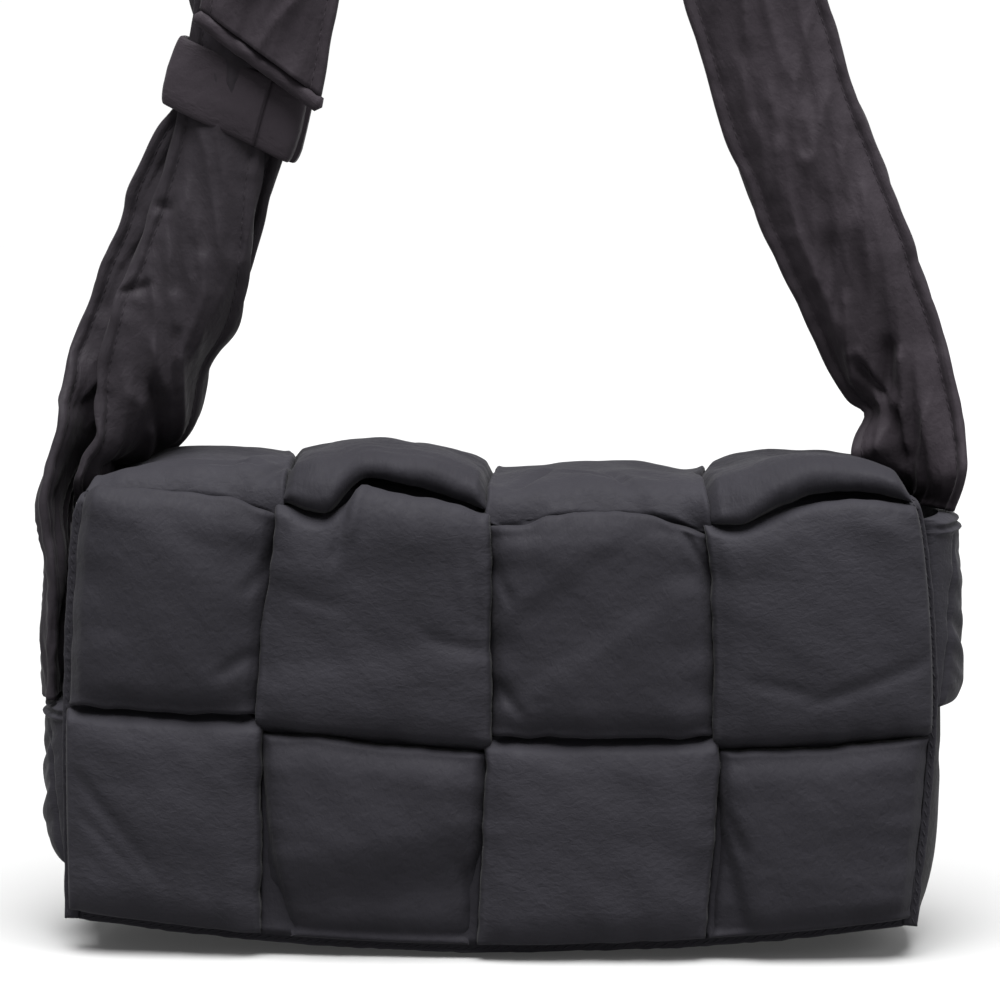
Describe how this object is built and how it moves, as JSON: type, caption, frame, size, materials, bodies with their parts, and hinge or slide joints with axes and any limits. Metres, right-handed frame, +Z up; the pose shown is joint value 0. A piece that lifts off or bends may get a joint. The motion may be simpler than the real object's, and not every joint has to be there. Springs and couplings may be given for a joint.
{
  "type": "padded shoulder bag",
  "caption": "Soft shoulder bag with a padded basket-weave cover folding over as a flap, an open pouch with gussets, and a broad padded strap held in a loop by a keeper.",
  "frame": {"origin": "middle of the base, on the surface that the bag stands on", "axes": "+Z up, +X to the right seen from the front, +Y to the back; the flap faces -Y"},
  "size_m": [0.32, 0.094, 0.4805],
  "materials": {
    "shell": "matte charcoal nylon, finely crinkled, padded",
    "strap": "matte charcoal nylon, finely crinkled, padded",
    "body": "matte charcoal nylon, finely crinkled"
  },
  "bodies": {
    "root": {"upright_strip_1": "shell", "upright_strip_2": "shell", "upright_strip_3": "shell", "upright_strip_4": "shell", "crossing_strip_front_lower": "shell", "crossing_strip_front_upper": "shell", "crossing_strip_top": "shell", "crossing_strip_back_upper": "shell", "crossing_strip_back_lower": "shell", "side_border_left": "shell", "side_border_right": "shell", "flap_hem": "shell", "back_hem": "shell", "pouch": "body", "gusset_panel_left": "body", "gusset_panel_right": "body", "gusset_band_right": "shell", "gusset_band_left": "shell", "shoulder_strap": "strap", "strap_loop": "strap", "strap_end_hem": "strap", "strap_keeper": "strap"}
  },
  "joints": []
}
